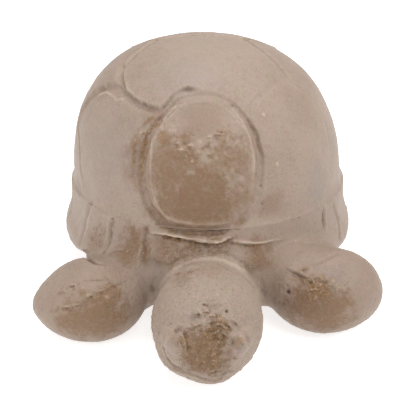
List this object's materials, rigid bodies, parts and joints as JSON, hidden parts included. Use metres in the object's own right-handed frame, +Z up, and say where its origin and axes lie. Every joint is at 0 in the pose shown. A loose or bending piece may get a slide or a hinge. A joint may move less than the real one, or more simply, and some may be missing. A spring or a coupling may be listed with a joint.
{
  "type": "turtle figurine",
  "caption": "Hand-built clay turtle figurine with a tall domed shell, tooled shell plates, a lined rim band, an egg-shaped head and round stubby feet, resting on a flat belly.",
  "frame": {"origin": "middle of the flat underside that the figurine rests on", "axes": "+Z up, -Y the way the head looks, +X the turtle's own left side"},
  "size_m": [0.0684, 0.1014, 0.0473],
  "materials": {
    "shell_clay": "satin, unglazed taupe clay",
    "rim_clay": "satin, unglazed taupe clay, browner in its lines",
    "belly_clay": "matte, unglazed brown clay",
    "head_clay": "satin, unglazed taupe clay",
    "eye_clay": "satin, unglazed warm brown clay",
    "foot_clay": "satin, unglazed taupe clay",
    "tail_clay": "satin, unglazed taupe clay"
  },
  "bodies": {
    "root": {"shell_dome": "shell_clay", "shell_rim": "rim_clay", "belly": "belly_clay", "head": "head_clay", "neck_collar": "head_clay", "eye_left": "eye_clay", "eye_right": "eye_clay", "front_left_foot": "foot_clay", "front_right_foot": "foot_clay", "rear_left_foot": "foot_clay", "rear_right_foot": "foot_clay", "tail": "tail_clay"}
  },
  "joints": []
}
